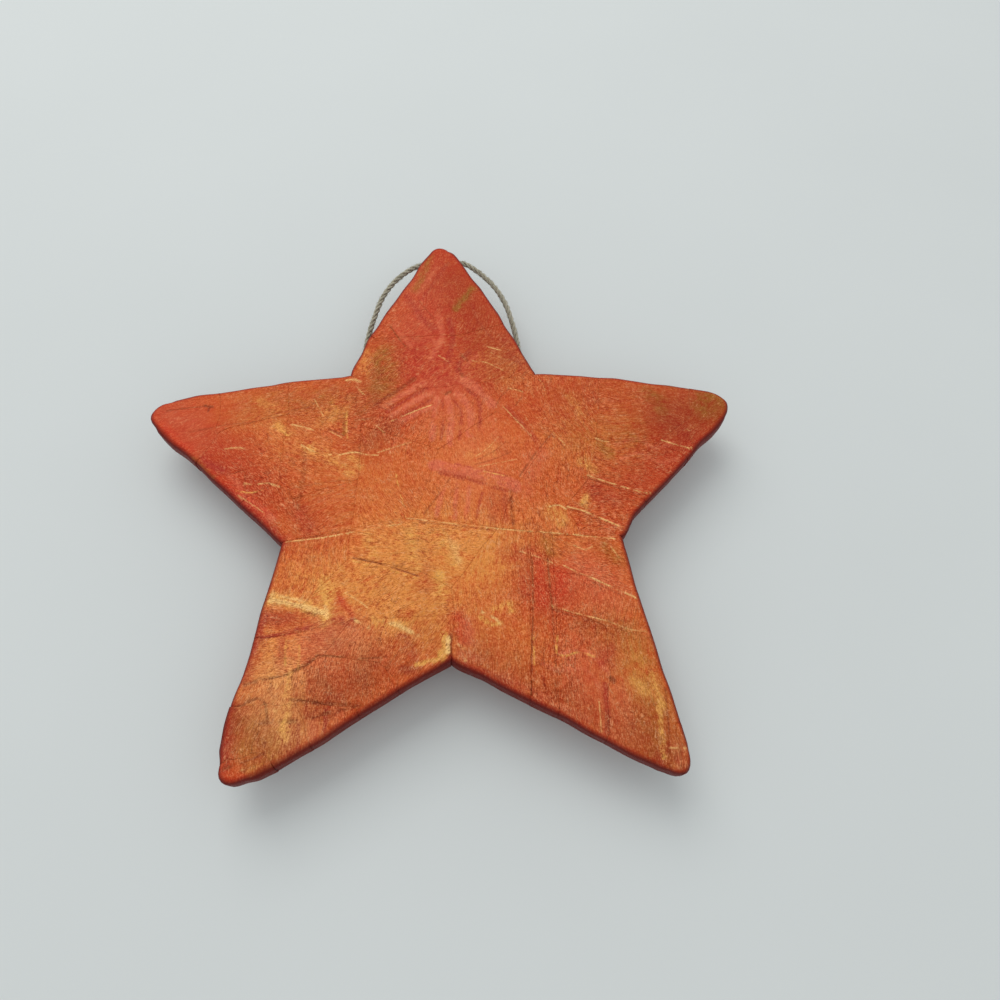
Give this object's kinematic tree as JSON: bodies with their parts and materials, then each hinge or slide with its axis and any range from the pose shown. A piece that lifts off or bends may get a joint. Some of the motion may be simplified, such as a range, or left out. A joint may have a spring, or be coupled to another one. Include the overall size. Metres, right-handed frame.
{
  "type": "papier mache star ornament",
  "caption": "Hollow card star pasted all over with torn paper, painted red and rubbed with gold, with a domed back and a swinging hanging loop of jute twine.",
  "frame": {"origin": "under the middle of the star's outline, on the surface that its back lies on", "axes": "+Z out of the front face, +Y towards the point that it hangs from, +X to the right seen from the front"},
  "size_m": [0.2, 0.2004, 0.0231],
  "materials": {
    "painted_paper": "pasted paper, red-orange paint mottled with rubbed gold, satin",
    "painted_paper_back": "pasted paper, red paint with a little rubbed gold, satin",
    "grey_card": "bare pressed card, matte",
    "jute_twine": "twisted grey-brown jute twine, matte and hairy"
  },
  "bodies": {
    "star": {"back_board": "grey_card", "back_paper_left": "painted_paper_back", "back_paper_lower_left": "painted_paper_back", "back_paper_lower_right": "painted_paper_back", "back_paper_right": "painted_paper_back", "back_paper_top": "painted_paper_back", "back_rest_sheet": "painted_paper_back", "front_board": "grey_card", "paper_centre_left": "painted_paper", "paper_centre_lower": "painted_paper", "paper_centre_right": "painted_paper", "paper_centre_top": "painted_paper", "paper_left_fold": "painted_paper", "paper_left_inner_lower": "painted_paper", "paper_left_inner_upper": "painted_paper", "paper_left_lower": "painted_paper", "paper_left_shoulder": "painted_paper", "paper_left_tip": "painted_paper", "paper_left_upper": "painted_paper", "paper_lower_left_band": "painted_paper", "paper_lower_left_bar": "painted_paper", "paper_lower_left_corner": "painted_paper", "paper_lower_left_inner": "painted_paper", "paper_lower_left_patch": "painted_paper", "paper_lower_left_shoulder": "painted_paper", "paper_lower_left_side": "painted_paper", "paper_lower_left_strip": "painted_paper", "paper_lower_left_tip": "painted_paper", "paper_lower_right_bar": "painted_paper", "paper_lower_right_inner": "painted_paper", "paper_lower_right_outer": "painted_paper", "paper_lower_right_shoulder": "painted_paper", "paper_lower_right_strip": "painted_paper", "paper_lower_right_tip": "painted_paper", "paper_notch_left": "painted_paper", "paper_notch_right": "painted_paper", "paper_right_inner": "painted_paper", "paper_right_shoulder": "painted_paper", "paper_right_strip_inner": "painted_paper", "paper_right_strip_outer": "painted_paper", "paper_right_tip": "painted_paper", "paper_right_upper": "painted_paper", "paper_top_lower": "painted_paper", "paper_top_tip": "painted_paper", "paper_top_upper": "painted_paper", "rim_strip_left_left": "grey_card", "rim_strip_left_right": "grey_card", "rim_strip_lower_left_left": "grey_card", "rim_strip_lower_left_right": "grey_card", "rim_strip_lower_right_left": "grey_card", "rim_strip_lower_right_right": "grey_card", "rim_strip_right_left": "grey_card", "rim_strip_right_right": "grey_card", "rim_strip_top_left": "grey_card", "rim_strip_top_right": "grey_card"},
    "hanger": {"hanger_twine": "jute_twine", "twine_knot": "jute_twine"}
  },
  "joints": [
    {"name": "hanger_swing", "type": "hinge", "parent": "star", "child": "hanger", "pos_m": [-0.00002, 0.09414, 0.01575], "axis": [1, 0, 0], "range_deg": [0, 330]}
  ]
}
